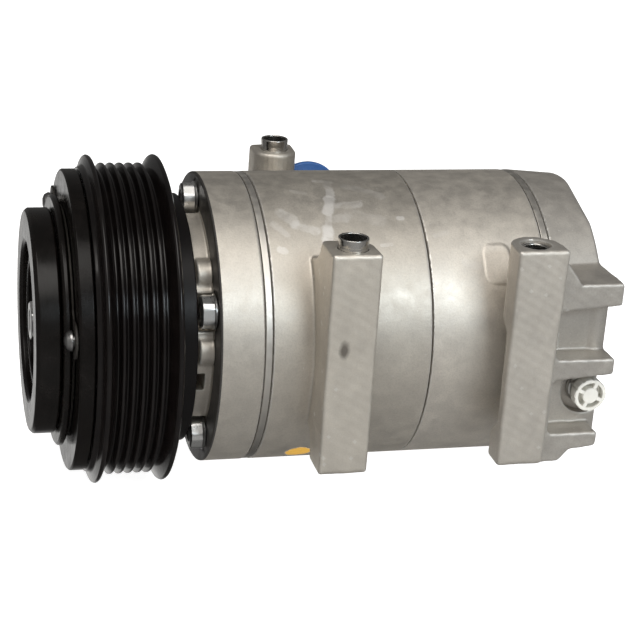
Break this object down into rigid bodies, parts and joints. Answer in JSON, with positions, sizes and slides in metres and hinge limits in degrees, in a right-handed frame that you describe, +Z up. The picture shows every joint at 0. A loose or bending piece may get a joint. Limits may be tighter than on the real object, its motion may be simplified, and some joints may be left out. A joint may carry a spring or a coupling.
{
  "type": "automotive ac compressor",
  "caption": "Swash-plate car air-conditioning compressor: cast round body with vertical mounting lugs, magnetic clutch and grooved belt pulley at one end, capped ports at the back.",
  "frame": {"origin": "centre of the flat rear face of the rear head, on the shaft axis", "axes": "+X along the shaft from the pulley end out of the rear face, +Z up along the lug bolt holes, -Y towards the relief valve side"},
  "size_m": [0.2135, 0.1472, 0.126],
  "materials": {
    "cast": "sand-blasted casting",
    "machined": "machined",
    "zinc": "zinc plated",
    "dark_steel": "ground",
    "black_enamel": "gloss",
    "rubber": "matte",
    "coil": "satin",
    "white_nylon": "satin",
    "blue_plastic": "satin"
  },
  "bodies": {
    "housing": {"front_head": "cast", "front_valve_plate": "zinc", "front_cylinder_block": "cast", "rear_cylinder_block": "cast", "rear_valve_plate": "zinc", "rear_head": "cast", "housing_seal_ring": "rubber", "through_bolt_1": "zinc", "through_bolt_2": "zinc", "through_bolt_3": "zinc", "through_bolt_4": "zinc", "through_bolt_5": "zinc", "front_sleeve_near": "zinc", "front_sleeve_far": "zinc", "rear_sleeve_near": "zinc", "shaft_seal": "rubber", "front_radial_bearing": "dark_steel", "rear_radial_bearing": "dark_steel", "front_thrust_bearing": "dark_steel", "rear_thrust_bearing": "dark_steel", "clutch_coil": "coil", "bearing_inner_race": "dark_steel", "bearing_snap_ring": "zinc", "relief_valve_body": "zinc", "relief_valve_cap": "white_nylon", "suction_port_cap": "blue_plastic", "discharge_port_cap": "blue_plastic"},
    "pulley": {"pulley_rotor": "black_enamel", "bearing_outer_race": "dark_steel"},
    "drive": {"clutch_hub": "black_enamel", "damper_ring": "black_enamel", "damper_rubber": "rubber", "hub_nut": "zinc", "air_gap_shim": "zinc", "leaf_spring": "dark_steel", "drive_shaft": "dark_steel", "swash_plate": "dark_steel"},
    "armature": {"armature_plate": "black_enamel", "rivet_1": "zinc", "rivet_2": "zinc", "rivet_3": "zinc"},
    "piston_1": {"piston_1": "machined"},
    "piston_2": {"piston_2": "machined"},
    "piston_3": {"piston_3": "machined"},
    "piston_4": {"piston_4": "machined"},
    "piston_5": {"piston_5": "machined"}
  },
  "joints": [
    {"name": "pulley_spin", "type": "hinge", "parent": "housing", "child": "pulley", "pos_m": [-0.1782, 0, 0], "axis": [1, 0, 0], "continuous": true},
    {"name": "shaft_spin", "type": "hinge", "parent": "housing", "child": "drive", "pos_m": [-0.07655, 0, 0], "axis": [1, 0, 0], "continuous": true},
    {"name": "armature_pull_in", "type": "slide", "parent": "drive", "child": "armature", "axis": [1, 0, 0], "range_m": [0, 0.0004], "stiffness_N_per_m": 8000},
    {"name": "piston_1_stroke", "type": "slide", "parent": "housing", "child": "piston_1", "axis": [1, 0, 0], "range_m": [0, 0.02]},
    {"name": "piston_2_stroke", "type": "slide", "parent": "housing", "child": "piston_2", "axis": [1, 0, 0], "range_m": [-0.00691, 0.01309]},
    {"name": "piston_3_stroke", "type": "slide", "parent": "housing", "child": "piston_3", "axis": [1, 0, 0], "range_m": [-0.01809, 0.00191]},
    {"name": "piston_4_stroke", "type": "slide", "parent": "housing", "child": "piston_4", "axis": [1, 0, 0], "range_m": [-0.01809, 0.00191]},
    {"name": "piston_5_stroke", "type": "slide", "parent": "housing", "child": "piston_5", "axis": [1, 0, 0], "range_m": [-0.00691, 0.01309]}
  ]
}
